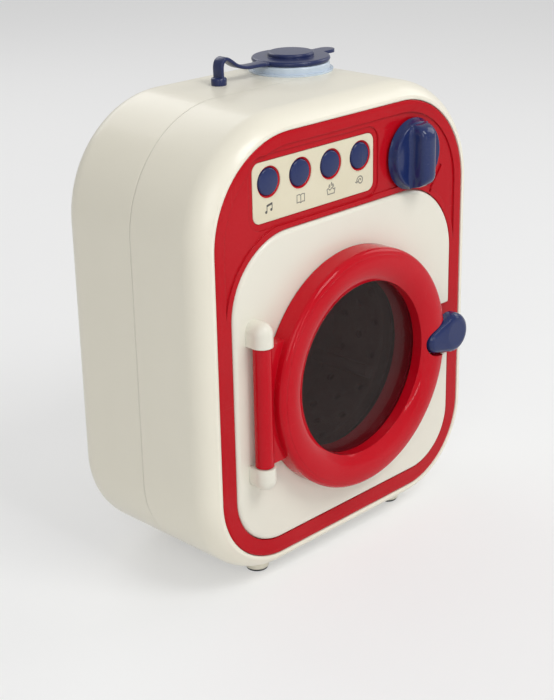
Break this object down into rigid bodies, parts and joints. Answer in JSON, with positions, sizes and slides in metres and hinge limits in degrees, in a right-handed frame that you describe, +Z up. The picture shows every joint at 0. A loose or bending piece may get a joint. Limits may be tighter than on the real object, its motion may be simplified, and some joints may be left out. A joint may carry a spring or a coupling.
{
  "type": "toy washing machine",
  "caption": "Toy front-loading washing machine with a hinged porthole door, spinning perforated drum, push buttons, turning dial, lift-off filler cap and drain hose.",
  "frame": {"origin": "on the floor under the middle of the housing; the drain hose, its spigot and coupling are left out of this middle", "axes": "+Z up; -Y out of the door, the front; +X to the machine's right as seen from the front, where the drain hose is"},
  "size_m": [0.215, 0.105, 0.23],
  "materials": {
    "housing": "gloss, warm ivory",
    "red": "high gloss, crimson",
    "navy": "gloss, navy blue",
    "label": "satin printed film, beige",
    "collar": "gloss, pale blue-white",
    "window": "clear smoky, polished",
    "silver": "silver-grey, satin",
    "white": "satin white",
    "gear": "natural acetal, satin",
    "rubber": "soft grey",
    "steel": "plated steel",
    "brass": "turned brass",
    "black": "matt black",
    "board": "green solder mask",
    "cell": "lacquered sleeve",
    "hose": "soft white vinyl"
  },
  "bodies": {
    "machine": {"front_shell": "housing", "rear_shell": "housing", "front_bezel": "red", "door_surround": "housing", "control_label": "label", "foot_pads": "rubber", "housing_screws": "steel", "filler_collar": "collar", "filler_funnel": "white", "cap_tether": "navy", "hinge_pin": "steel", "latch_keeper": "steel", "dial_switch": "black", "button_pad": "rubber", "circuit_board": "board", "board_screws": "steel", "mouth_seal": "rubber", "light_ring": "board", "tub": "white", "tub_screws": "steel", "drum_bearing": "brass", "motor": "steel", "gear_frame_front": "gear", "gear_frame_rear": "gear", "gear_axles": "steel", "gear_screws": "steel", "battery_box": "black", "battery_contacts": "steel", "battery_cells": "cell", "battery_door": "housing", "battery_door_screw": "steel", "speaker": "black", "drain_pipe": "white", "hose_port": "white", "drain_hose": "hose", "hose_coupling": "navy", "hose_hook": "navy"},
    "door": {"door_ring": "red", "door_window": "window", "door_sleeve": "red", "door_screws": "steel", "latch_pin": "steel", "latch_spring": "steel"},
    "latch": {"latch_handle": "navy"},
    "dial": {"program_knob": "navy", "knob_shaft": "steel"},
    "push_1": {"button_1": "navy"},
    "push_2": {"button_2": "navy"},
    "push_3": {"button_3": "navy"},
    "push_4": {"button_4": "navy"},
    "washing_drum": {"drum": "silver", "drum_shaft": "steel", "drum_gear": "gear"},
    "idler_2": {"idler_gear_2": "gear"},
    "idler_1": {"idler_gear_1": "gear"},
    "pinion": {"motor_pinion": "brass"},
    "cap": {"filler_cap": "navy"}
  },
  "joints": [
    {"name": "door_hinge", "type": "hinge", "parent": "machine", "child": "door", "pos_m": [-0.062, -0.04355, 0.093], "axis": [0, 0, -1], "range_deg": [0, 115]},
    {"name": "latch_turn", "type": "hinge", "parent": "door", "child": "latch", "pos_m": [0.0505, -0.04425, 0.0928], "axis": [0, 0, -1], "range_deg": [0, 12], "stiffness_Nm_per_rad": 0.03, "springref_deg": -5.73},
    {"name": "dial_turn", "type": "hinge", "parent": "machine", "child": "dial", "pos_m": [0.0434, -0.03755, 0.1842], "axis": [0, -1, 0], "range_deg": [-150, 150]},
    {"name": "button_1_press", "type": "slide", "parent": "machine", "child": "push_1", "axis": [0, 1, 0], "range_m": [0, 0.0016], "stiffness_N_per_m": 400, "springref_m": -0.0008},
    {"name": "button_2_press", "type": "slide", "parent": "machine", "child": "push_2", "axis": [0, 1, 0], "range_m": [0, 0.0016], "stiffness_N_per_m": 400, "springref_m": -0.0008},
    {"name": "button_3_press", "type": "slide", "parent": "machine", "child": "push_3", "axis": [0, 1, 0], "range_m": [0, 0.0016], "stiffness_N_per_m": 400, "springref_m": -0.0008},
    {"name": "button_4_press", "type": "slide", "parent": "machine", "child": "push_4", "axis": [0, 1, 0], "range_m": [0, 0.0016], "stiffness_N_per_m": 400, "springref_m": -0.0008},
    {"name": "drum_spin", "type": "hinge", "parent": "machine", "child": "washing_drum", "pos_m": [0, 0, 0.093], "axis": [0, -1, 0], "continuous": true},
    {"name": "idler_2_spin", "type": "hinge", "parent": "machine", "child": "idler_2", "pos_m": [-0.01341, 0.03445, 0.11326], "axis": [0, -1, 0], "continuous": true},
    {"name": "idler_1_spin", "type": "hinge", "parent": "machine", "child": "idler_1", "pos_m": [-0.02533, 0.03045, 0.13128], "axis": [0, -1, 0], "continuous": true},
    {"name": "motor_spin", "type": "hinge", "parent": "machine", "child": "pinion", "pos_m": [-0.03726, 0.02645, 0.14929], "axis": [0, -1, 0], "continuous": true},
    {"name": "cap_lift", "type": "slide", "parent": "machine", "child": "cap", "axis": [0, 0, 1], "range_m": [0, 0.012], "deforming": ["cap_tether"]}
  ],
  "couplings": [
    {"joint": "idler_2_spin", "follows": "drum_spin", "ratio": -3.5},
    {"joint": "idler_1_spin", "follows": "drum_spin", "ratio": 10.5},
    {"joint": "motor_spin", "follows": "drum_spin", "ratio": -31.5}
  ]
}
